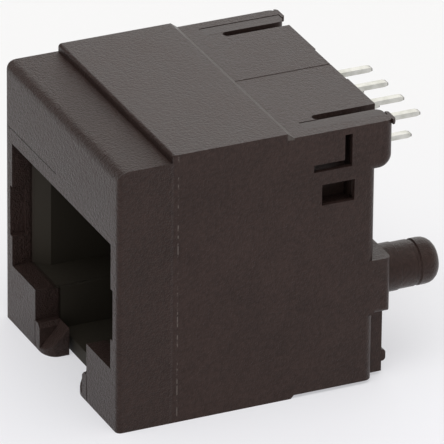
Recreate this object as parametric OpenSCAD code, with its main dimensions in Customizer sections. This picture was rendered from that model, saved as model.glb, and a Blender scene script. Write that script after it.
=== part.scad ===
// Top-entry eight-way modular jack for a printed circuit board.
// It lies on its latch side: +Z is up, the mouth faces -Y and the board side faces +Y.
// The modules measure Y from the mouth face; place() then centres the part on its footprint.

/* [Housing] */
// Width across the side walls
body_w = 15.5; // [15:0.1:18]
// Height of the front collar
collar_h = 15.75; // [15.6:0.05:18]
// Length of the front collar, from the mouth face
collar_len = 3.2; // [2.6:0.1:4]
// How far the collar's sides lie inside the side walls
collar_inset = 0.05; // [0.02:0.01:0.2]
// Rise of the middle band above the collar
band_rise = 0.45; // [0.2:0.05:0.9]
// Length of the raised middle band
band_len = 6.8; // [5.5:0.1:7.2]
// Length of the slope behind the band
slope_len = 0.4; // [0.2:0.05:0.8]
// Drop from the band to the rear top
rear_drop = 0.3; // [0.15:0.05:0.45]
// Lift of the rear underside above the surface that the housing lies on
rear_lift = 0.2; // [0.1:0.05:0.5]
// Depth of the side walls, from the mouth face
wall_depth = 15.2; // [14.8:0.1:18]
// Seating plane behind the side walls
standoff = 1.1; // [0.8:0.05:1.6]
// Radius of the top front edge
brow_r = 0.4; // [0.2:0.05:0.8]
// Radius of the upright front edges
corner_r = 0.3; // [0.15:0.05:0.6]

/* [Plug port] */
// Width of the mouth at the face
mouth_w = 13.6; // [12.8:0.1:14]
// Height of the mouth at the face
mouth_h = 7.7; // [7.3:0.1:8.2]
// Height of the mouth's floor
floor_z = 3.4; // [3.2:0.05:3.8]
// Straight depth of the mouth before it narrows
lead_depth = 1.2; // [1:0.1:2]
// Width of the throat that guides the plug
throat_w = 12; // [11.9:0.05:12.4]
// Height of the throat
throat_h = 6.9; // [6.8:0.05:7.2]
// Depth of the port
port_depth = 11.2; // [10.8:0.1:12]
// Chamfer on the feet beside the latch slot
foot_chamfer = 0.2; // [0.1:0.05:0.35]
// Height of the shallow recess in each side of the mouth
cheek_h = 3.05; // [2:0.05:4]
// Height of the middle of that recess
cheek_z = 6.9; // [6.4:0.1:7.4]
// Depth of that recess from the face
cheek_len = 0.8; // [0.5:0.05:0.95]
// Depth of that recess into the wall
cheek_cut = 0.28; // [0.15:0.01:0.4]

/* [Latch] */
// Width of the latch slot
latch_w = 7.3; // [6.4:0.1:7.8]
// Height of the catch blocks
catch_h = 1.75; // [1.4:0.05:2.2]
// Depth of the catch blocks
catch_len = 1.35; // [1.1:0.05:1.5]
// Gap between the catch blocks at the face
catch_gap = 6.05; // [5.4:0.05:6.2]
// Gap between the catch blocks at their back
catch_throat = 4.2; // [3.8:0.05:4.6]
// Depth of the notch through the bottom wall
notch_depth = 1.65; // [1.55:0.05:2.2]
// Thickness of the bottom wall
bottom_wall = 0.85; // [0.7:0.05:1.1]

/* [Contacts] */
// Spacing of neighbouring contacts
pitch = 1.02; // [0.98:0.01:1.05]
// Width of the contact strips
strip_w = 0.42; // [0.34:0.02:0.48]
// Thickness of the contact strips
strip_t = 0.28; // [0.2:0.02:0.36]
// Clearance round a strip in the carrier
strip_fit = 0.02; // [0.01:0.01:0.05]
// Length of the tails beyond the seating plane
tail_len = 3.6; // [2.8:0.1:4.5]
// Height of the upper row of tails
row_z = 13.85; // [13.6:0.05:14.2]
// Distance between the two rows of tails
row_gap = 1.78; // [1.5:0.02:2]
// Width of the comb slots that part the springs
comb_w = 0.56; // [0.52:0.01:0.62]
// Depth of the front of the spring bends
spring_y = 2.4; // [2.3:0.05:2.8]
// Radius of the spring bends
spring_r = 1; // [0.8:0.05:1.1]
// Slope of the springs into the port
spring_slope = 22; // [16:1:26]
// Length of the springs' straight legs
spring_len = 8; // [6:0.1:8.4]

/* [Carrier] */
// Depth of the carrier block behind the jogs of the contacts
carrier_len = 2.9; // [2.4:0.1:3.2]
// Height of the carrier's floor
carrier_z = 11.3; // [11.1:0.05:11.5]
// Width of the tongue that covers the carrier
tongue_w = 11.1; // [10.6:0.1:11.4]
// Thickness of the tongue
tongue_t = 0.5; // [0.4:0.05:0.7]
// Distance of the tongue's edge from the seating plane
tongue_back = 0.2; // [0.1:0.05:0.5]
// Width of the slot on each side of the tongue
slot_w = 0.55; // [0.4:0.05:0.7]
// Thickness of the housing's side wall beside the carrier
cheek_wall = 0.85; // [0.75:0.05:1]
// Clearance between the carrier and the housing
carrier_fit = 0.04; // [0.02:0.01:0.08]
// Height of the ears at the seating plane
ear_h = 2.8; // [2.2:0.1:3.4]

/* [Board pegs] */
// Distance between the pegs
peg_spacing = 11.43; // [10.8:0.01:11.6]
// Height of the pegs' axes
peg_z = 5.9; // [5.4:0.1:6.4]
// Diameter of the pegs' locating base
peg_base_d = 3.2; // [3:0.05:3.4]
// Length of the locating base
peg_base_len = 0.65; // [0.4:0.05:1]
// Diameter of the pegs' shank
peg_d = 2.65; // [2.3:0.05:2.9]
// Length of the pegs beyond the seating plane
peg_len = 3.5; // [3.2:0.1:4.5]
// Diameter of the bosses that carry the pegs
boss_d = 4.6; // [4.2:0.1:4.8]

/* [Hidden] */
$fn = 48;
eps = 0.01;
contact_count = 8;
bend_step = 12;

half_w = body_w / 2;
band_y = collar_len + band_len;
slope_y = band_y + slope_len;
band_top = collar_h + band_rise;
rear_top = band_top - rear_drop;
seat_y = wall_depth + standoff;
tail_y = seat_y + tail_len;

throat_y = lead_depth + (mouth_w - throat_w) / 2;
throat_top = floor_z + throat_h;
mouth_top = floor_z + mouth_h;

// The rear pocket takes the carrier, and a core behind the port keeps the walls even.
back_wall = 1.2;
stop_y = port_depth + 0.2;
core_y = port_depth + back_wall;
shelf_t = 0.9;
core_half = half_w - 1.45;
arm_out = half_w - cheek_wall;
slot_out = tongue_w / 2 + slot_w;
carrier_back = seat_y - 0.4;
carrier_front = carrier_back - carrier_len;
slot_y = stop_y + 0.9;

channel_z = row_z - row_gap / 2;
comb_top = channel_z + strip_t / 2 + 0.15;
comb_y = spring_y - strip_t / 2 - 0.1;
jog_r = 0.5;
jog_angle = 45;
jog_leg = (row_gap / 2 - 2 * jog_r * (1 - cos(jog_angle))) / sin(jog_angle);
jog_y = 2 * jog_r * sin(jog_angle) + jog_leg * cos(jog_angle);
jog_start = carrier_front - 0.1;

// Latch windows in each side wall, as [front, back, bottom, top]
barb_window = [stop_y + 0.2, stop_y + 2.4, rear_top - 2.25, rear_top - 0.4];
plain_window = [stop_y + 0.7, stop_y + 2.65, rear_top - 4.4, rear_top - 3.15];
window_gap = 0.45;
barb_ramp = 0.35;

// ---------- shared helpers ----------

module place() {
    translate([0, -tail_y / 2, 0]) children();
}

module both_sides() {
    children();
    mirror([1, 0, 0]) children();
}

// Block between two corners
module block(low, high) {
    translate(low) cube(high - low);
}

// Extrudes an outline given in Y and Z across X, from x0 to x1.
module across(x0, x1) {
    translate([x0, 0, 0]) rotate([90, 0, 90]) linear_extrude(x1 - x0) children();
}

// Cutter that rounds the edge at the origin of a solid in the -x -y quadrant.
module edge_cutter(r, length) {
    difference() {
        translate([-r, -r, -eps]) cube([r + eps, r + eps, length + 2 * eps]);
        translate([-r, -r, -2 * eps]) cylinder(r = r, h = length + 4 * eps);
    }
}

// Moves its child so that local x, y and z run along -Y, +Z and -X.
module along_width(y, z) {
    translate([half_w, y, z]) rotate([90, 0, -90]) children();
}

// ---------- housing ----------

module collar() {
    side = half_w - collar_inset;
    difference() {
        block([-side, 0, 0], [side, collar_len + 1, collar_h]);
        along_width(0, collar_h) edge_cutter(brow_r, body_w);
        both_sides() translate([side, 0, 0]) rotate([0, 0, -90]) edge_cutter(corner_r, collar_h);
    }
}

module trunk() {
    across(-half_w, half_w) polygon([
        [collar_len, 0], [slope_y, 0], [slope_y + rear_lift, rear_lift],
        [wall_depth, rear_lift], [wall_depth, rear_top], [slope_y, rear_top],
        [band_y, band_top], [collar_len, band_top]
    ]);
}

// Upper rear corner of a side wall, which reaches the board
module ear() {
    foot_r = 0.8;
    top_r = 0.3;
    z0 = rear_top - ear_h;
    difference() {
        block([arm_out, wall_depth - 1, z0], [half_w, seat_y, rear_top]);
        translate([arm_out, seat_y, z0]) rotate([90, 90, 90]) edge_cutter(foot_r, cheek_wall);
        translate([arm_out, seat_y, rear_top]) rotate([90, 0, 90]) edge_cutter(top_r, cheek_wall);
    }
}

module tongue() {
    block([-tongue_w / 2, wall_depth - 1, rear_top - tongue_t],
          [tongue_w / 2, seat_y - tongue_back, rear_top]);
}

// Low rim and corner posts that meet the board below the pegs
module lower_rim() {
    rim_half = half_w - 0.75;
    rim_y = seat_y - 0.15;
    nib_z = 0.8;
    nib_h = 0.7;
    block([-rim_half, wall_depth - 1, rear_lift], [rim_half, rim_y, rear_lift + 1]);
    both_sides() {
        block([rim_half - 1, wall_depth - 1, rear_lift], [rim_half, rim_y, peg_z - 1]);
        block([rim_half - 1, rim_y - eps, nib_z], [rim_half, seat_y, nib_z + nib_h]);
    }
}

module port_cut() {
    half_mouth = mouth_w / 2;
    half_throat = throat_w / 2;
    intersection() {
        translate([0, 0, floor_z]) linear_extrude(mouth_h) polygon([
            [-half_mouth, -eps], [half_mouth, -eps], [half_mouth, lead_depth],
            [half_throat, throat_y], [half_throat, port_depth],
            [-half_throat, port_depth], [-half_throat, throat_y], [-half_mouth, lead_depth]
        ]);
        across(-half_w, half_w) polygon([
            [-eps, floor_z], [port_depth, floor_z], [port_depth, throat_top],
            [throat_y, throat_top], [lead_depth, mouth_top], [-eps, mouth_top]
        ]);
    }
    both_sides() block([half_mouth - eps, -eps, cheek_z - cheek_h / 2],
                       [half_mouth + cheek_cut, cheek_len, cheek_z + cheek_h / 2]);
}

module latch_cut() {
    half_slot = latch_w / 2;
    block([-half_slot, -eps, catch_h], [half_slot, catch_len + eps, floor_z + eps]);
    block([-half_slot, catch_len, bottom_wall], [half_slot, port_depth, floor_z + eps]);
    block([-half_slot, catch_len, -eps], [half_slot, notch_depth, bottom_wall + eps]);
    translate([0, 0, -eps]) linear_extrude(catch_h + 2 * eps) polygon([
        [-catch_gap / 2, -eps], [catch_gap / 2, -eps],
        [catch_throat / 2, catch_len + eps], [-catch_throat / 2, catch_len + eps]
    ]);
}

// Small chamfers round the two feet that stand beside the latch slot
module foot_chamfers() {
    c = foot_chamfer;
    across(-mouth_w / 2, mouth_w / 2) polygon([
        [-eps, floor_z - c - eps], [c + eps, floor_z + eps], [-eps, floor_z + eps]
    ]);
    both_sides() translate([latch_w / 2, 0, catch_h]) linear_extrude(floor_z - catch_h) polygon([
        [-eps, -eps], [c + eps, -eps], [-eps, c + eps]
    ]);
}

// Slots that part the eight springs in the roof of the port
module comb_cut() {
    for (i = [1 : contact_count]) {
        block([contact_x(i) - comb_w / 2, comb_y, throat_top - eps],
              [contact_x(i) + comb_w / 2, stop_y + eps, comb_top]);
    }
}

// Pocket for the carrier, with channels for its two arms and the slots beside the tongue
module carrier_cut() {
    open_y = seat_y + 1;
    block([-slot_out, stop_y, carrier_z], [slot_out, open_y, rear_top - tongue_t]);
    both_sides() {
        block([slot_out - eps, stop_y, carrier_z], [arm_out, open_y, rear_top + 1]);
        block([tongue_w / 2, slot_y, carrier_z], [slot_out, open_y, rear_top + 1]);
        translate([(tongue_w / 2 + slot_out) / 2, slot_y, rear_top - 1])
            cylinder(d = slot_w, h = 2);
    }
}

module window_cut(w) {
    block([arm_out - eps, w[0], w[2]], [half_w + 1, w[1], w[3]]);
}

module core_cut() {
    block([-core_half, core_y, rear_lift + 1], [core_half, seat_y + 1, carrier_z - shelf_t]);
}

// Shallow witness line along the middle of the tongue
module witness_line() {
    depth = 0.06;
    block([0.25, slope_y, rear_top - depth], [0.5, seat_y - 0.7, rear_top + 1]);
}

// Column from the back wall to the seating plane, trimmed flush with the side wall
module boss() {
    intersection() {
        translate([peg_spacing / 2, core_y - eps, peg_z]) rotate([-90, 0, 0])
            cylinder(d = boss_d, h = seat_y - core_y + eps);
        block([0, core_y - 1, rear_lift], [half_w, seat_y, carrier_z]);
    }
}

// Board peg: a locating base, a shank with a thin ring groove, and a rounded head
module peg() {
    root = 0.5;
    base_r = peg_base_d / 2;
    shank_r = peg_d / 2;
    groove_y = 1.95;
    groove_w = 0.3;
    groove_r = shank_r - 0.15;
    ring_y = 1.1;
    ring_w = 0.08;
    nose_r = 0.8;
    nose = [for (a = [0 : 15 : 90]) [shank_r - nose_r + nose_r * cos(a), peg_len - nose_r + nose_r * sin(a)]];
    translate([peg_spacing / 2, seat_y, peg_z]) rotate([-90, 0, 0]) rotate_extrude() polygon(concat(
        [
            [0, -root], [base_r, -root], [base_r, peg_base_len - 0.15],
            [base_r - 0.15, peg_base_len], [shank_r, peg_base_len],
            [shank_r, ring_y], [shank_r - 0.05, ring_y], [shank_r - 0.05, ring_y + ring_w],
            [shank_r, ring_y + ring_w], [shank_r, groove_y], [groove_r, groove_y + 0.08],
            [groove_r, groove_y + groove_w - 0.08], [shank_r, groove_y + groove_w]
        ],
        nose,
        [[0, peg_len]]
    ));
}

module housing() {
    color("#2e2927") place() {
        difference() {
            union() {
                collar();
                trunk();
                tongue();
                both_sides() ear();
                lower_rim();
            }
            port_cut();
            latch_cut();
            foot_chamfers();
            comb_cut();
            carrier_cut();
            core_cut();
            both_sides() {
                window_cut(barb_window);
                window_cut(plain_window);
            }
            witness_line();
        }
        both_sides() {
            boss();
            peg();
        }
    }
}

// ---------- contact carrier ----------

// Side arm, rounded where it meets the board, with the barb that fills its window
module carrier_arm() {
    in_x = slot_out + carrier_fit;
    out_x = arm_out - carrier_fit;
    arm_back = seat_y - 0.05;
    round_r = 0.45;
    barb_back = barb_window[1] - window_gap;
    barb_low = barb_window[2] + window_gap + 0.05;
    barb_high = barb_window[3] - carrier_fit;
    barb_out = half_w - 0.06;
    difference() {
        block([in_x, stop_y, carrier_z], [out_x, arm_back, rear_top - 0.02]);
        translate([in_x, arm_back, carrier_z]) rotate([0, 0, 90])
            edge_cutter(round_r, rear_top - carrier_z);
    }
    translate([0, 0, barb_low]) linear_extrude(barb_high - barb_low) polygon([
        [out_x - eps, barb_window[0] + carrier_fit], [barb_out - barb_ramp, barb_window[0] + carrier_fit],
        [barb_out, barb_window[0] + carrier_fit + barb_ramp], [barb_out, barb_back], [out_x - eps, barb_back]
    ]);
}

module contact_carrier() {
    body_half = tongue_w / 2;
    body_top = rear_top - tongue_t - carrier_fit;
    web_top = carrier_z + 1.4;
    color("#292523") place() difference() {
        union() {
            block([-body_half, carrier_front, carrier_z], [body_half, carrier_back, body_top]);
            block([-arm_out + carrier_fit, carrier_front, carrier_z],
                  [arm_out - carrier_fit, carrier_back, web_top]);
            both_sides() carrier_arm();
        }
        for (i = [1 : contact_count]) {
            half = [strip_w / 2 + strip_fit, strip_t / 2 + strip_fit];
            block([contact_x(i) - half[0], carrier_front - eps, contact_z(i) - half[1]],
                  [contact_x(i) + half[0], carrier_back + eps, contact_z(i) + half[1]]);
        }
    }
}

// ---------- contacts ----------

// Even contacts end in the upper row of tails and odd ones in the lower row.
function contact_x(i) = (i - (contact_count + 1) / 2) * pitch;
function contact_z(i) = i % 2 == 0 ? row_z : row_z - row_gap;

// A bend turns the heading of a pose [y, z, heading] to the left for a positive angle.
function after_straight(p, length) = [p[0] + length * cos(p[2]), p[1] + length * sin(p[2]), p[2]];
function bend_centre(p, r, a) = [p[0] - sign(a) * r * sin(p[2]), p[1] + sign(a) * r * cos(p[2])];
function after_bend(p, r, a) = let (c = bend_centre(p, r, a), h = p[2] + a)
    [c[0] + sign(a) * r * sin(h), c[1] - sign(a) * r * cos(h), h];

function bend_poses(p, r, a) = let (count = ceil(abs(a) / bend_step))
    [for (k = [1 : count]) after_bend(p, r, a * k / count)];

// Poses along steps of [straight length, bend radius, bend angle]
function strip_poses(steps, pose, i = 0) = i == len(steps) ? [] :
    let (corner = after_straight(pose, steps[i][0]), a = steps[i][2])
    let (bend = a == 0 ? [] : bend_poses(corner, steps[i][1], a))
    concat([corner], bend, strip_poses(steps, a == 0 ? corner : bend[len(bend) - 1], i + 1));

function beside(p, d) = [p[0] - d * sin(p[2]), p[1] + d * cos(p[2])];

// Outline of a strip of thickness t along a list of poses
function strip_outline(poses, t) = concat(
    [for (p = poses) beside(p, t / 2)],
    [for (k = [len(poses) - 1 : -1 : 0]) beside(poses[k], -t / 2)]
);

// Tail, jog to the common level, run along the comb, and the spring turned back into the port
module contact(i) {
    tip = 0.2;
    tip_t = strip_t * 0.5;
    jog = i % 2 == 0 ? jog_angle : -jog_angle;
    run = jog_start - jog_y - (spring_y + spring_r);
    start = [tail_y - tip, contact_z(i), 180];
    steps = [
        [start[0] - jog_start, jog_r, jog],
        [jog_leg, jog_r, -jog],
        [run, spring_r, 180 - spring_slope],
        [spring_len, 0, 0]
    ];
    outline = strip_outline(concat([start], strip_poses(steps, start)), strip_t);
    color("#cfcabd") place() across(contact_x(i) - strip_w / 2, contact_x(i) + strip_w / 2)
        polygon(concat(
            [[tail_y, start[1] - tip_t / 2]], outline, [[tail_y, start[1] + tip_t / 2]]
        ));
}

housing();
contact_carrier();
contact(1);  // contact_1
contact(2);  // contact_2
contact(3);  // contact_3
contact(4);  // contact_4
contact(5);  // contact_5
contact(6);  // contact_6
contact(7);  // contact_7
contact(8);  // contact_8
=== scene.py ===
# %% [markdown]
# # A modular jack for a circuit board
#
# The part is an eight-way jack, moulded in black-brown plastic. A separate carrier holds eight
# stamped contacts, and two round pegs plug into the board. The solids come ready made from the
# CAD model. This lesson moulds the housing and the carrier once more with their small forms,
# rounds the edges that a mould leaves rounded, gives each piece its finish, and lights the
# whole as on a white table.

# %% The frame and the tools
import math

import bmesh
import bpy
import numpy as np
from mathutils import Matrix, Vector


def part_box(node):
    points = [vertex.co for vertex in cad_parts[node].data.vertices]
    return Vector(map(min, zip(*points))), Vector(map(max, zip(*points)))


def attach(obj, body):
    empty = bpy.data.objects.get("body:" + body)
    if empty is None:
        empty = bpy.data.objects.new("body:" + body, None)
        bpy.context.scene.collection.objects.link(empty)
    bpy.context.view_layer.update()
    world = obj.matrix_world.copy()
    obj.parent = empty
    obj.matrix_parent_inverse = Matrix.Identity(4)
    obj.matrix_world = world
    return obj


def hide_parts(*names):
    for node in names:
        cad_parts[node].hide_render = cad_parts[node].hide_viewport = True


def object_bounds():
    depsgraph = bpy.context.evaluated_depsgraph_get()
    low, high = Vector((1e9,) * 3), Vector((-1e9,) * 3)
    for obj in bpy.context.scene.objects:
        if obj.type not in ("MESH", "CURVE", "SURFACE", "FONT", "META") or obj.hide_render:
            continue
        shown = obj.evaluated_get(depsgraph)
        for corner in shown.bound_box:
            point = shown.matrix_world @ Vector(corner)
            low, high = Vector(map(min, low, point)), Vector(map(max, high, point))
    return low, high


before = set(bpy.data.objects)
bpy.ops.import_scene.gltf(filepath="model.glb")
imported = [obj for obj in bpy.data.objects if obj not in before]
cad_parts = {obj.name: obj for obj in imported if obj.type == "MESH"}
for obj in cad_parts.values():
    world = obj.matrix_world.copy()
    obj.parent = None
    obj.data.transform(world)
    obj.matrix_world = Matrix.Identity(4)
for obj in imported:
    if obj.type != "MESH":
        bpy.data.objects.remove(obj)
cad_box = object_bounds()
MM = 0.001
CONTACTS = sorted(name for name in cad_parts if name.startswith("contact_") and name[-1].isdigit())
print("nodes", sorted(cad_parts))

# %% [markdown]
# ## Solids from outlines
#
# A moulding is easy to describe with a few closed solids: outlines that are extruded or turned
# on an axis, which are then added to and cut from each other. A form here is a pair: its
# points as an array in millimetres, and its faces. X runs across the jack, Y from the mouth to
# the board, with 0 at the mouth face, and Z up.

# %% Extruded outlines
EPS = 0.01
TURNS = {"X": [2, 0, 1], "Y": [1, 2, 0], "Z": [0, 1, 2]}


def prism(outline, low, high, along):
    """Sends (u, v) to (u, v, low) and (u, v, high), then turns the third axis along X, Y or Z.

    The outline is given as (y, z) along X, as (z, x) along Y, and as (x, y) along Z.
    """
    ring = np.asarray(outline, float)
    count = len(ring)
    points = np.concatenate([np.column_stack([ring, np.full(count, w)]) for w in (low, high)])
    here = np.arange(count)
    after = np.roll(here, -1)
    sides = np.stack([here, after, after + count, here + count], -1)
    return points[:, TURNS[along]], [here[::-1].tolist(), (here + count).tolist(), *sides.tolist()]


def block(low, high):
    """A box between two corners."""
    (x0, y0, z0), (x1, y1, z1) = low, high
    return prism([(x0, y0), (x1, y0), (x1, y1), (x0, y1)], z0, z1, "Z")


def arc(centre, radius, start, end, steps=6):
    """Points at centre + radius * (cos a, sin a), for angles in even steps between two angles."""
    a = np.radians(np.linspace(start, end, steps + 1))
    return (np.asarray(centre) + radius * np.column_stack([np.cos(a), np.sin(a)])).tolist()


# %% Turned and lofted solids
def turned(profile, centre, along, count=48):
    """Sends (r, w) to (r cos a, r sin a, w) for a whole turn round an axis through the centre."""
    r, w = np.asarray(profile, float).T
    a = np.linspace(0, 2 * np.pi, count, endpoint=False)
    rings = np.stack([np.outer(r, np.cos(a)), np.outer(r, np.sin(a)), np.outer(w, np.ones(count))], -1)
    points = rings.reshape(-1, 3)[:, TURNS[along]] + np.asarray(centre, float)
    here = np.arange(len(r) * count).reshape(len(r), count)
    after = np.roll(here, -1, 1)
    sides = np.stack([here[:-1], after[:-1], after[1:], here[1:]], -1).reshape(-1, 4)
    return points, [here[0, ::-1].tolist(), here[-1].tolist(), *sides.tolist()]


def tunnel(stations):
    """Lofts straight between rectangles, each given as (y, half width, low z, high z)."""
    y, half, low, high = np.asarray(stations, float).T
    rings = np.stack([np.stack([sign * half, y, z], -1) for sign, z in
                      ((-1, low), (1, low), (1, high), (-1, high))], 1)
    here = np.arange(len(y) * 4).reshape(-1, 4)
    after = np.roll(here, -1, 1)
    sides = np.stack([here[:-1], after[:-1], after[1:], here[1:]], -1).reshape(-1, 4)
    return rings.reshape(-1, 3), [here[0, ::-1].tolist(), here[-1].tolist(), *sides.tolist()]


def mirrored(form):
    """The same form on the other side of the middle plane, x to -x."""
    points, faces = form
    return points * (-1, 1, 1), [face[::-1] for face in faces]


def both(*forms):
    """Each form and its mirror image."""
    return [side for form in forms for side in (form, mirrored(form))]


# %% Cutters for rounded edges
def edge_cut(corner, out, radius, low, high, along):
    """Rounds an edge: the square at a corner, less the quarter circle that stays.

    out holds two signs, which point from the solid to the outside in the outline's plane.
    """
    local = [(EPS, EPS), (-radius, EPS), *arc((-radius, -radius), radius, 90, 0), (EPS, -radius)]
    return prism(np.asarray(corner) + np.asarray(out) * local, low - EPS, high + EPS, along)


# %% Adding and cutting
def mesh_of(name, form):
    """A mesh whose faces all point outwards."""
    mesh = bpy.data.meshes.new(name)
    mesh.from_pydata(np.asarray(form[0]).tolist(), [], form[1])
    work = bmesh.new()
    work.from_mesh(mesh)
    bmesh.ops.recalc_face_normals(work, faces=work.faces)
    work.to_mesh(mesh)
    work.free()
    return mesh


def combine(base, steps):
    """Adds forms to a base and cuts forms from it, in the order of the steps."""
    objects = [bpy.data.objects.new("form", mesh_of("form", base))]
    bpy.context.scene.collection.objects.link(objects[0])
    for operation, form in steps:
        tool = bpy.data.objects.new("form", mesh_of("form", form))
        bpy.context.scene.collection.objects.link(tool)
        objects.append(tool)
        step = objects[0].modifiers.new("step", "BOOLEAN")
        step.operation = operation
        step.solver = "EXACT"
        step.object = tool
    view = bpy.context.evaluated_depsgraph_get()
    made = objects[0].evaluated_get(view).data
    points = np.empty(len(made.vertices) * 3)
    made.vertices.foreach_get("co", points)
    result = points.reshape(-1, 3), [list(face.vertices) for face in made.polygons]
    for tool in objects:
        mesh = tool.data
        bpy.data.objects.remove(tool)
        bpy.data.meshes.remove(mesh)
    return result


def add(*forms):
    return [("UNION", form) for form in forms]


def cut(*forms):
    return [("DIFFERENCE", form) for form in forms]


# %% [markdown]
# ## The main sizes
#
# The sizes of the moulding are named once, in millimetres, and everything else is worked out
# from them.

# %% Sizes of the moulding
HALF_W = 7.75
COLLAR = (3.2, 15.75)
BAND_END, BAND_TOP = 10.0, 16.2
SLOPE_END = 10.4
REAR_LOW, REAR_TOP = 0.2, 15.9
STOP_Y, WALL_Y = 11.4, 15.4
SEAT_Y = 16.5
EDGE_Y = 16.4
BROW_R, BAND_R, CORNER_R, REAR_R = 0.65, 0.2, 0.3, 0.5
ARM_OUT, SLOT_OUT, TONGUE_HALF = 7.05, 6.1, 5.55
TONGUE_T = 0.5
EAR_Z = 12.95
FLOOR_Z = 3.55
MOUTH_HALF, MOUTH_TOP = 6.8, 11.1
THROAT_HALF, THROAT_TOP = 6.0, 10.45
PORT_Y = 11.2
LATCH_HALF = 3.55
CARRIER_Z = 11.3
PEG_X, PEG_Z = 5.715, 5.85
ROW_Z, ROW_GAP = 13.85, 1.78
PITCH = 1.02
PARTING_Y = 3.55
print("housing", 2 * HALF_W, "x", SEAT_Y, "x", BAND_TOP, "mm without the pegs")

# %% [markdown]
# ## The housing's outside
#
# One profile gives the collar round the mouth, the raised band with its slope, and the rear.
# The tongue and the two ears reach back over the carrier, and a low rim with two posts stands
# below the pegs.

# %% Shell
shell = combine(
    prism([(0, 0), (SLOPE_END, 0), (SLOPE_END + 0.2, REAR_LOW), (WALL_Y, REAR_LOW), (WALL_Y, REAR_TOP),
           (SLOPE_END, REAR_TOP), (BAND_END, BAND_TOP), (COLLAR[0], BAND_TOP), COLLAR, (0, COLLAR[1])],
          -HALF_W, HALF_W, "X"),
    cut(edge_cut((0, COLLAR[1]), (-1, 1), BROW_R, -HALF_W, HALF_W, "X"),
        edge_cut((COLLAR[0], BAND_TOP), (-1, 1), BAND_R, -HALF_W, HALF_W, "X"),
        *both(edge_cut((HALF_W, 0), (1, -1), CORNER_R, 0, BAND_TOP, "Z"),
              edge_cut((HALF_W, WALL_Y), (1, 1), REAR_R, 0, REAR_TOP, "Z"))))
print("shell", len(shell[0]), "points")


# %% Ears
def rim_section(length, thickness, radius):
    """Section of a slab, as (along, out), with its far outer corner rounded."""
    return [(0, 0), (length, 0), *arc((length - radius, thickness - radius), radius, 0, 90), (0, thickness)]


EAR_FOOT = 0.8
wall_t = HALF_W - ARM_OUT
ear_front = WALL_Y - 1
foot_y = EDGE_Y - EAR_FOOT
outer_edge = rim_section(EDGE_Y - ear_front, wall_t, REAR_R)
under_edge = rim_section(EAR_FOOT, wall_t, REAR_R)
ear_slab = prism([(ARM_OUT + out, ear_front + y) for y, out in outer_edge], EAR_Z + EAR_FOOT, REAR_TOP, "Z")
ear_sole = prism([(EAR_Z + EAR_FOOT - z, ARM_OUT + out) for z, out in under_edge], ear_front, foot_y, "Y")
ear_foot = turned(under_edge[1:-1], (ARM_OUT, foot_y, EAR_Z + EAR_FOOT), "X")

# %% Tongue, rim and posts
tongue = combine(
    block((-TONGUE_HALF, ear_front, REAR_TOP - TONGUE_T), (TONGUE_HALF, SEAT_Y - 0.25, REAR_TOP)),
    cut(block((-2.1, SEAT_Y - 0.33, 0), (2.1, SEAT_Y + 1, REAR_TOP + 1))))
RIM_HALF, RIM_Y, POST_W, NIB_R = 7.0, 16.25, 1.0, 0.2
rim = block((-RIM_HALF, ear_front, REAR_LOW), (RIM_HALF, RIM_Y, REAR_LOW + 1))
post = block((RIM_HALF - POST_W, ear_front, REAR_LOW), (RIM_HALF, RIM_Y, PEG_Z - 1))
nib = prism([(RIM_Y - 0.7, 0.8),
             *arc((SEAT_Y - NIB_R, 1.0), NIB_R, -90, 0),
             *arc((SEAT_Y - NIB_R, 1.3), NIB_R, 0, 90),
             (RIM_Y - 0.7, 1.5)], RIM_HALF - POST_W, RIM_HALF, "X")

# %% [markdown]
# ## The housing's openings
#
# The port narrows from the mouth to a throat. Below it runs the slot for the plug's latch, and
# above it a comb parts the springs. Behind, the carrier's pocket, the core below it, and the
# windows with the gap round a tab are cut through.

# %% Port, latch slot and comb
port = tunnel([(-EPS, MOUTH_HALF, FLOOR_Z, MOUTH_TOP), (1.2, MOUTH_HALF, FLOOR_Z, MOUTH_TOP),
               (2.0, THROAT_HALF, FLOOR_Z, THROAT_TOP), (PORT_Y, THROAT_HALF, FLOOR_Z, THROAT_TOP)])
cheek = block((MOUTH_HALF - EPS, -EPS, 5.375), (MOUTH_HALF + 0.28, 0.8, 8.425))
SLOT_FLOOR = 0.85
latch_slot = block((-LATCH_HALF, -EPS, SLOT_FLOOR), (LATCH_HALF, PORT_Y, FLOOR_Z + EPS))
latch_notch = block((-LATCH_HALF, -EPS, -EPS), (LATCH_HALF, 1.65, SLOT_FLOOR + EPS))
spring_x = (np.arange(1, 9) - 4.5) * PITCH
comb = [block((x - 0.28, 2.16, THROAT_TOP - EPS), (x + 0.28, STOP_Y + EPS, 13.25)) for x in spring_x]

# %% Pocket, core, windows and witness line
OPEN_Y = SEAT_Y + 1
SLOT_Y = STOP_Y + 1.2
pocket = block((-SLOT_OUT, STOP_Y, CARRIER_Z), (SLOT_OUT, OPEN_Y, REAR_TOP - TONGUE_T))
arm_way = block((SLOT_OUT - EPS, STOP_Y, CARRIER_Z), (ARM_OUT, OPEN_Y, REAR_TOP + 1))
slot_way = block((TONGUE_HALF, SLOT_Y, CARRIER_Z + 0.5), (SLOT_OUT + EPS / 2, OPEN_Y, REAR_TOP + 1))
slot_end = turned([(0.275, -1.0), (0.275, 1.0)], ((TONGUE_HALF + SLOT_OUT) / 2, SLOT_Y, REAR_TOP), "Z")
core = block((-6.3, PORT_Y + 1.2, REAR_LOW + 1), (6.3, OPEN_Y, CARRIER_Z - 0.9))
WINDOW = (12.1, 14.05, 11.49, 12.74)  # front, back, bottom, top
TAB = (11.6, 13.44, 14.0, 15.5)
TAB_GAP = 0.44
THIN = 0.3
window = block((ARM_OUT - EPS, WINDOW[0], WINDOW[2]), (HALF_W + 1, WINDOW[1], WINDOW[3]))
tab_back = block((ARM_OUT - EPS, TAB[1], TAB[2] - TAB_GAP), (HALF_W + 1, TAB[1] + TAB_GAP, TAB[3]))
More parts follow.
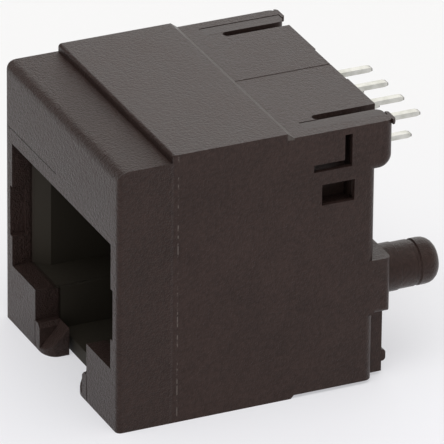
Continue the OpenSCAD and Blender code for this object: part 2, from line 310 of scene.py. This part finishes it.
tab_under = block((ARM_OUT - EPS, TAB[0], TAB[2] - TAB_GAP), (HALF_W + 1, TAB[1] + EPS, TAB[2]))
thin_wall = block((ARM_OUT - EPS, STOP_Y + 0.05, WINDOW[2] - 0.3), (HALF_W - THIN, 14.4, TAB[3] + 0.05))
witness = block((-0.06, SLOPE_END, REAR_TOP - 0.02), (0.06, SEAT_Y, REAR_TOP + 1))
groove = block((LATCH_HALF, -EPS, -EPS), (LATCH_HALF + 0.08, 0.12, 1.65))
hairline = block((-7.6, -EPS, 11.95), (-0.7, 0.05, 11.99))

# %% [markdown]
# ## What stands on the housing
#
# Lips on the ears hook over the carrier's arms and meet the board. A catch block stands on
# each side of the latch slot, with a ramp that the latch rides up. Each peg has a square boss
# behind it, a base that fits the board's hole, a shank with a groove, and a rounded head.

# %% Lips and catch blocks
lip = prism([(ARM_OUT - 0.4, SEAT_Y - 0.2), (HALF_W, SEAT_Y - 0.2),
             *arc((HALF_W - 0.2, SEAT_Y - 0.2), 0.2, 0, 90),
             *arc((ARM_OUT - 0.25, SEAT_Y - 0.15), 0.15, 90, 180)], REAR_TOP - 0.3, REAR_TOP, "Z")
CATCH_H, CATCH_LEN = 1.65, 1.35
POST_X, RAMP_X = 2.95, 1.9
catch_post = prism([(0, LATCH_HALF + EPS), (0, POST_X), (CATCH_H - 0.25, POST_X),
                    (CATCH_H, POST_X + 0.25), (CATCH_H, LATCH_HALF + EPS)], 0, CATCH_LEN, "Y")


def catch_ramp():
    """The plan is extruded to z = 0.2 + (catch height - 0.2) * y / length, a plane that rises inwards."""
    a = np.radians(np.linspace(0, 90, 9))
    front = np.column_stack([POST_X - (POST_X - RAMP_X) * np.sin(a), 0.8 * (1 - np.cos(a))])
    plan = [(LATCH_HALF + EPS, 0), *front.tolist(), (RAMP_X, CATCH_LEN), (LATCH_HALF + EPS, CATCH_LEN)]
    points, faces = prism(plan, 0, 1, "Z")
    rise = 0.2 + (CATCH_H - 0.2) * points[:, 1] / CATCH_LEN
    points[:, 2] *= rise
    return points, faces


# %% Bosses and pegs
BOSS, BOSS_R = 1.67, 0.35
boss = combine(
    block((PEG_X - BOSS, PORT_Y + 1.2 - EPS, PEG_Z - BOSS), (HALF_W, EDGE_Y, PEG_Z + BOSS)),
    cut(edge_cut((EDGE_Y, PEG_Z - BOSS), (1, -1), BOSS_R, PEG_X - BOSS, HALF_W, "X"),
        edge_cut((HALF_W, EDGE_Y), (1, 1), BOSS_R, 0, 10, "Z"),
        edge_cut((PEG_Z - BOSS, HALF_W), (-1, 1), BOSS_R, WALL_Y, EDGE_Y, "Y")))
BASE_R, SHANK_R, GROOVE_R, HEAD_R, PEG_LEN = 1.37, 1.325, 1.25, 0.8, 3.45
peg = turned([(BASE_R, -0.5), (BASE_R, 0.9), (SHANK_R, 0.95), (SHANK_R, 1.92),
              (GROOVE_R, 1.98), (GROOVE_R, 2.12), (SHANK_R, 2.2),
              *arc((SHANK_R - HEAD_R, PEG_LEN - HEAD_R), HEAD_R, 0, 90)],
             (PEG_X, SEAT_Y, PEG_Z), "Y")

# %% The whole moulding
housing_form = combine(shell, [
    *add(tongue, *both(ear_slab, ear_sole, ear_foot), rim, *both(post, nib)),
    *cut(port, *both(cheek), latch_slot, latch_notch, *comb, pocket, *both(arm_way, slot_way, slot_end),
         core, *both(window, tab_back, tab_under, thin_wall), witness, *both(groove), hairline),
    *add(*both(lip, catch_post, catch_ramp(), boss, peg))])
print("housing", len(housing_form[0]), "points,", len(housing_form[1]), "faces")

# %% [markdown]
# ## The carrier
#
# The carrier is a comb-like block behind the port. A web joins its two side arms. Each arm is
# hollowed beside the windows, and its barb catches behind the lower window's rear edge. Only
# the upper part of each arm reaches back between the ears.

# %% Carrier
FIT = 0.04
CARRIER_Y = (13.0, 16.2)
arm_in, arm_out = SLOT_OUT + FIT, ARM_OUT - FIT
arm_low = block((arm_in, STOP_Y, CARRIER_Z), (arm_out, WALL_Y, EAR_Z + EPS))
arm_high = prism([(arm_in, STOP_Y), (arm_out, STOP_Y), (arm_out, SEAT_Y - 0.24),
                  *arc((arm_in + 0.45, SEAT_Y - 0.69), 0.45, 90, 180)], EAR_Z, REAR_TOP - 0.02, "Z")
barb_tip = HALF_W - THIN - FIT
barb = prism([(arm_out - 0.5, WINDOW[1] + 0.02), (barb_tip - 0.11, WINDOW[1] + 0.02),
              (barb_tip, WINDOW[1] + 0.13), (barb_tip, WINDOW[1] + 0.3),
              (arm_out - 0.5, WINDOW[1] + 0.3)],
             WINDOW[2] + FIT, WINDOW[3] - FIT, "Z")
arm_relief = block((arm_out - 0.6, STOP_Y + 0.1, WINDOW[2] - 0.25),
                   (arm_out + 0.1, WINDOW[1], TAB[3] + 0.05))
body = block((-TONGUE_HALF, CARRIER_Y[0], CARRIER_Z), (TONGUE_HALF, CARRIER_Y[1], REAR_TOP - TONGUE_T - FIT))
web = block((-arm_out, CARRIER_Y[0], CARRIER_Z), (arm_out, WALL_Y, CARRIER_Z + 1.4))
row_z = np.where(np.arange(8) % 2 == 1, ROW_Z, ROW_Z - ROW_GAP)
strip_ways = [block((x - 0.23, CARRIER_Y[0] - 1, z - 0.16), (x + 0.23, CARRIER_Y[1] + 1, z + 0.16))
              for x, z in zip(spring_x, row_z)]
carrier_form = combine(body, [
    *add(web, *both(arm_low, arm_high, barb)), *cut(*strip_ways, *both(arm_relief))])
print("carrier", len(carrier_form[0]), "points,", len(carrier_form[1]), "faces")


# %% [markdown]
# ## From forms to pieces
#
# A mould never leaves a knife edge. The Bevel modifier breaks every edge by a few hundredths of
# a millimetre and keeps the flat faces flat in shading. Each piece takes the place of its plain
# node, which stays in the model for collision.

# %% Moulded pieces
def moulded_piece(name, form, node, edge_mm):
    """Shifts the form so that the mouth face lies on the lowest Y of the CAD box, in metres."""
    points = np.asarray(form[0]) * MM + (0, cad_box[0][1], 0)
    mesh = mesh_of(name, (points, form[1]))
    mesh.shade_smooth()
    piece = bpy.data.objects.new(name, mesh)
    bpy.context.scene.collection.objects.link(piece)
    edge = piece.modifiers.new("moulded edge", "BEVEL")
    edge.width = edge_mm * MM
    edge.segments = 2
    edge.limit_method = "ANGLE"
    edge.angle_limit = math.radians(32)
    edge.harden_normals = True
    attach(piece, "root")
    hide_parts(node)
    low, high = np.array(piece.bound_box).min(0) / MM, np.array(piece.bound_box).max(0) / MM
    print(name, np.round(high - low, 2), "mm")
    return piece


housing = moulded_piece("moulded_housing", housing_form, "housing", 0.09)
carrier = moulded_piece("moulded_carrier", carrier_form, "contact_carrier", 0.03)

# %% [markdown]
# ## Shader maths
#
# A procedural finish is mostly arithmetic on noise. Wiring every Math node by hand hides the
# formula, so a small class wraps a socket and turns a written expression into nodes.

# %% A number that the shader works out
class Value:
    """One output of a node. Sums and products of values add the Math nodes that work them out."""

    def __init__(self, finish, socket):
        self.finish = finish
        self.socket = socket

    def maths(self, operation, first, second=0.0):
        return self.finish.node("ShaderNodeMath", {"operation": operation}, {0: first, 1: second}, "Value")

    def __add__(self, other):
        return self.maths("ADD", self, other)

    def __sub__(self, other):
        return self.maths("SUBTRACT", self, other)

    def __rsub__(self, other):
        return self.maths("SUBTRACT", other, self)

    def __mul__(self, other):
        return self.maths("MULTIPLY", self, other)

    def size(self):
        return self.maths("ABSOLUTE", self)

    def above(self, level, softness):
        """0 below level - softness and 1 above level + softness, with a smooth step between."""
        limits = {"From Min": level - softness, "From Max": level + softness}
        settings = {"interpolation_type": "SMOOTHSTEP"}
        return self.finish.node("ShaderNodeMapRange", settings, {"Value": self, **limits}, "Result")

    __radd__ = __add__
    __rmul__ = __mul__


# %% A material under construction
class Finish:
    """A material whose nodes are added by one method."""

    def __init__(self, name):
        self.material = bpy.data.materials.new(name)
        self.material.use_nodes = True
        self.tree = self.material.node_tree
        self.tree.nodes.clear()

    def node(self, kind, settings, sockets, output=None):
        """Adds a node, sets its settings first and its sockets next, and returns the named output."""
        made = self.tree.nodes.new(kind)
        for name, value in settings.items():
            setattr(made, name, value)
        for name, value in sockets.items():
            self.feed(self.pick(made.inputs, name), value)
        return Value(self, self.pick(made.outputs, output)) if output is not None else made

    def pick(self, sockets, name):
        """A socket by its place or its identifier, because some nodes repeat their socket names."""
        if isinstance(name, int):
            return sockets[name]
        return next(s for s in sockets if s.identifier == name or s.name == name)

    def feed(self, socket, value):
        if isinstance(value, Value):
            self.tree.links.new(value.socket, socket)
        else:
            socket.default_value = value

    def place(self, stretch=(1, 1, 1)):
        """The point on the piece in millimetres, from its own coordinates."""
        own = self.node("ShaderNodeTexCoord", {}, {}, "Object")
        scale = tuple(s / MM for s in stretch)
        return self.node("ShaderNodeVectorMath", {"operation": "MULTIPLY"}, {0: own, 1: scale}, "Vector")

    def axis(self, point, name):
        return self.node("ShaderNodeSeparateXYZ", {}, {0: point}, name)

    def noise(self, point, per_mm, detail=2.0, roughness=0.5):
        """Fractal noise about 0.5, with that many blobs to the millimetre."""
        sockets = {"Vector": point, "Scale": per_mm, "Detail": detail, "Roughness": roughness}
        return self.node("ShaderNodeTexNoise", {}, sockets, "Fac")

    def specks(self, point, per_mm, radius_mm, share):
        """Round specks: 1 at the middle of a random cell and 0 beyond the radius, in a share of the cells."""
        sockets = {"Vector": point, "Scale": per_mm, "Randomness": 1.0}
        cells = self.node("ShaderNodeTexVoronoi", {"feature": "F1"}, sockets)
        away = Value(self, cells.outputs["Distance"])
        luck = self.axis(Value(self, cells.outputs["Color"]), "X")
        size = radius_mm * per_mm
        return (1 - away.above(size * 0.6, size * 0.4)) * luck.above(1 - share, 0.01)

    def mix(self, first, second, share):
        """A colour between two colours."""
        settings = {"data_type": "RGBA", "clamp_factor": True}
        sockets = {"Factor_Float": share, "A_Color": first, "B_Color": second}
        return self.node("ShaderNodeMix", settings, sockets, "Result_Color")

    def relief(self, height, depth_mm):
        """A Bump node for a height from 0 to 1 that stands for that depth."""
        sockets = {"Height": height, "Distance": depth_mm * MM, "Strength": 1.0}
        return self.node("ShaderNodeBump", {}, sockets, "Normal")

    def principled(self, **sockets):
        """A Principled shader, whose socket names are given with _ for spaces."""
        named = {name.replace("_", " "): value for name, value in sockets.items()}
        return self.node("ShaderNodeBsdfPrincipled", {}, named, "BSDF")

    def close(self, shader):
        self.node("ShaderNodeOutputMaterial", {"target": "ALL"}, {"Surface": shader})
        return self.material


# %% [markdown]
# ## Moulded plastic
#
# The mould's cavity is spark-eroded, which leaves a fine, even grain of rounded pits. The
# plastic is filled with glass fibre, so tiny pale specks show in it. Noise gives the slow
# clouding of the colour, the grain and the specks. Masks worked out from the point add the
# broken parting line on the sides, a painted highlight on the band's slope, and an even,
# smooth dark tone painted in the port and the latch slot for the shade deep inside them.

# %% Black-brown moulded plastic
def moulded_plastic(name, base, grain_per_mm, grain_depth_mm, roughness):
    finish = Finish(name)
    point = finish.place()
    deep = finish.axis(point, "Y") - cad_box[0][1] / MM
    cloud = finish.noise(point, 0.35, 3.0)
    grain = finish.noise(point, grain_per_mm, 2.0, 0.6)
    mottle = finish.noise(point, grain_per_mm * 0.45, 2.0)
    fibre = finish.specks(point, 1.3, 0.045, 0.16)
    shade = (cloud * 0.5 + mottle * 0.9 - 0.2).above(0.5, 0.35)
    colour = finish.mix(times(base, 0.72), times(base, 1.32), shade)
    colour = finish.mix(colour, (0.24, 0.21, 0.19, 1), fibre * 0.8)
    aside = finish.axis(point, "X").size()
    parting = (1 - (deep - PARTING_Y).size().above(0.03, 0.02)) * aside.above(HALF_W - 0.06, 0.02)
    beads = finish.noise(point, 3.5, 2.0).above(0.53, 0.06)
    colour = finish.mix(colour, (0.15, 0.13, 0.12, 1), parting * beads * 0.6)
    height = finish.axis(point, "Z")
    # Painted highlight: the band's slope gets a paler, mottled colour for the light that it reflects.
    slope = (deep - (BAND_END + SLOPE_END) / 2).size()
    painted_slope_highlight = (1 - slope.above(0.2, 0.05)) * height.above(REAR_TOP - 0.1, 0.05)
    colour = finish.mix(colour, (0.085, 0.076, 0.07, 1), painted_slope_highlight * (0.5 + mottle * 0.6))
    # Painted shade: deep in the port and the latch slot, an even dark colour stands in for the shade there.
    # The grain is left out and the roughness is raised there too.
    beside_port = aside.above(MOUTH_HALF + 0.04, 0.03)
    beside_slot = aside.above(LATCH_HALF + 0.05, 0.03)
    in_port = (1 - (height - 7.3).size().above(3.9, 0.06)) * (1 - beside_port)
    in_slot = (1 - height.above(FLOOR_Z, 0.1)) * (1 - beside_slot) * deep.above(1.45, 0.1)
    painted_port_shade = (in_port * deep.above(1.2, 0.15) + in_slot) * (1 - deep.above(15, 0.1))
    colour = finish.mix(colour, (0.026, 0.0225, 0.017, 1), painted_port_shade)
    coarse = 1 - deep.above(COLLAR[0], 0.1)
    rough = roughness + (cloud - 0.5) * 0.1 + (mottle - 0.5) * 0.16 + painted_port_shade * 0.3
    pits = (grain * 0.8 + mottle * 0.6) * (0.5 + coarse * 0.8) * (1 - painted_port_shade)
    return finish.close(finish.principled(
        Base_Color=colour, Roughness=rough, IOR=1.52, Specular_Tint=(0.29, 0.26, 0.245, 1),
        Normal=finish.relief(pits, grain_depth_mm)))


def times(colour, factor):
    """A darker or paler version of a colour, with its alpha."""
    return (*(factor * c for c in colour), 1)


housing_plastic = moulded_plastic("housing_plastic", (0.0285, 0.0172, 0.015), 11.0, 0.08, 0.36)
carrier_plastic = moulded_plastic("carrier_plastic", (0.024, 0.015, 0.013), 13.0, 0.03, 0.34)

# %% [markdown]
# ## Tinned contacts
#
# The contacts are stamped from strip and dipped in tin, so they are pale and satin, with
# faint drawn lines along the strip. The ends are sheared after plating and show darker metal.

# %% Tinned strip
def tinned_strip(name):
    finish = Finish(name)
    lines = finish.noise(finish.place((1, 0.06, 1)), 26.0, 2.0)
    cloud = finish.noise(finish.place(), 1.6, 3.0)
    depth = finish.axis(finish.place(), "Y")
    tail_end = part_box(CONTACTS[0])[1].y / MM
    sheared = depth.above(tail_end - 0.05, 0.03)
    colour = finish.mix((0.50, 0.50, 0.45, 1), (0.66, 0.655, 0.61, 1), cloud.above(0.5, 0.2))
    colour = finish.mix(colour, (0.10, 0.09, 0.08, 1), sheared * 0.8)
    return finish.close(finish.principled(
        Base_Color=colour, Metallic=0.85, Roughness=0.34 + (cloud - 0.5) * 0.2 + sheared * 0.2,
        Normal=finish.relief(lines, 0.004)))


contact_metal = tinned_strip("contact_metal")

# %% Each node takes its finish
def dress(node, material):
    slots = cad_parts[node].data.materials
    slots.clear()
    slots.append(material)


housing.data.materials.append(housing_plastic)
carrier.data.materials.append(carrier_plastic)
for name in CONTACTS:
    dress(name, contact_metal)

# %% [markdown]
# ## The table and the light
#
# A white sheet under a light tent: the light comes from everywhere, so shadows are soft and
# the gloss of the plastic shows the pale surroundings.

# %% White sheet
def floor_disc(radius, rings, spokes):
    """Polar grid: the point of ring u and spoke v is radius * u**3 * (cos v, sin v), on z = 0."""
    u = np.linspace(0, 1, rings + 1)[1:] ** 3
    v = np.linspace(0, 2 * np.pi, spokes, endpoint=False)
    ring = np.stack([np.outer(u, np.cos(v)), np.outer(u, np.sin(v)), np.zeros((rings, spokes))], -1)
    points = np.concatenate([[[0, 0, 0]], radius * ring.reshape(-1, 3)])
    here = 1 + np.arange(rings * spokes).reshape(rings, spokes)
    after = np.roll(here, -1, 1)
    quads = np.stack([here[:-1], here[1:], after[1:], after[:-1]], -1).reshape(-1, 4)
    fan = np.stack([np.zeros(spokes, int), here[0], after[0]], -1)
    mesh = bpy.data.meshes.new("floor")
    mesh.from_pydata(points.tolist(), [], fan.tolist() + quads.tolist())
    return mesh


def white_sheet():
    """Half of what is seen is the sheet's own tone, so its shadow stays soft and pale."""
    finish = Finish("white_sheet")
    point = finish.place()
    near = (finish.axis(point, "X") * 0.906 - finish.axis(point, "Y") * 0.423).above(-14, 28)
    colour = finish.mix((0.85, 0.85, 0.85, 1), (0.88, 0.88, 0.905, 1), near)
    tone = finish.mix((0.92, 0.92, 0.925, 1), (0.85, 0.852, 0.89, 1), near)
    rays = finish.node("ShaderNodeLightPath", {}, {})
    seen = sum(Value(finish, rays.outputs[f"Is {kind} Ray"]) for kind in ("Camera", "Glossy", "Transmission"))
    sheet = finish.principled(Base_Color=colour, Roughness=0.9, Specular_IOR_Level=0.2)
    glow = finish.node("ShaderNodeEmission", {}, {"Color": tone, "Strength": 1.0}, "Emission")
    return finish.close(finish.node("ShaderNodeMixShader", {}, {0: seen * 0.5, 1: sheet, 2: glow}, "Shader"))


floor = bpy.data.objects.new("floor", floor_disc(1.2, 24, 96))
bpy.context.scene.collection.objects.link(floor)
floor.data.materials.append(white_sheet())

# %% Lamps
def softbox(name, azimuth, elevation, distance, size, power):
    """A square lamp that faces the part from an azimuth and elevation in degrees."""
    data = bpy.data.lights.new(name, "AREA")
    data.size = size
    data.energy = power
    lamp = bpy.data.objects.new(name, data)
    bpy.context.scene.collection.objects.link(lamp)
    a, e = math.radians(azimuth), math.radians(elevation)
    out = Vector((math.sin(a) * math.cos(e), -math.cos(a) * math.cos(e), math.sin(e)))
    lamp.location = out * distance
    lamp.rotation_mode = "QUATERNION"
    lamp.rotation_quaternion = out.to_track_quat("Z", "Y")
    lamp.visible_camera = False
    return lamp


softbox("lamp_over", 60, 72, 0.6, 0.5, 1.6)
softbox("lamp_back", 245, 28, 0.7, 0.5, 0.55)

# %% Light tent with a dark opening
OPENING = Vector((-0.815, -0.43, 0.37)).normalized()
world = bpy.data.worlds.new("tent")
bpy.context.scene.world = world
world.use_nodes = True
nodes, links = world.node_tree.nodes, world.node_tree.links
towards = nodes.new("ShaderNodeVectorMath")
towards.operation = "DOT_PRODUCT"
towards.inputs[1].default_value = OPENING
links.new(nodes.new("ShaderNodeTexCoord").outputs["Generated"], towards.inputs[0])
shade = nodes.new("ShaderNodeMapRange")
shade.interpolation_type = "SMOOTHSTEP"
for name, value in {"From Min": 0.74, "From Max": 0.95, "To Min": 0.84, "To Max": 0.12}.items():
    shade.inputs[name].default_value = value
links.new(towards.outputs["Value"], shade.inputs["Value"])
links.new(shade.outputs["Result"], nodes["Background"].inputs["Strength"])
nodes["Background"].inputs["Color"].default_value = (1.0, 0.985, 0.965, 1)

# %% [markdown]
# ## The camera
#
# A very long lens from far away keeps parallel edges almost parallel, as in catalogue work.

# %% Camera
def aim(azimuth, elevation, roll, target_mm, distance_mm, lens):
    """Places the camera on the sphere round the target and turns it about its own line of sight."""
    a, e, r = map(math.radians, (azimuth, elevation, roll))
    back = Vector((math.sin(a) * math.cos(e), -math.cos(a) * math.cos(e), math.sin(e)))
    right = Vector((math.cos(a), math.sin(a), 0))
    up = back.cross(right)
    right, up = right * math.cos(r) + up * math.sin(r), up * math.cos(r) - right * math.sin(r)
    data = bpy.data.cameras.new("camera")
    data.lens = lens
    data.sensor_width = 36
    data.clip_start = 0.01
    camera = bpy.data.objects.new("camera", data)
    bpy.context.scene.collection.objects.link(camera)
    camera.matrix_world = Matrix.Translation(Vector(target_mm) * MM + back * distance_mm * MM) @ \
        Matrix((right, up, back)).transposed().to_4x4()
    bpy.context.scene.camera = camera


aim(65.281, 26.372, 0.627, (-0.526, 0, 7.167), 411.76, 603.3)

# %% Colour
bpy.context.scene.view_settings.view_transform = "Standard"
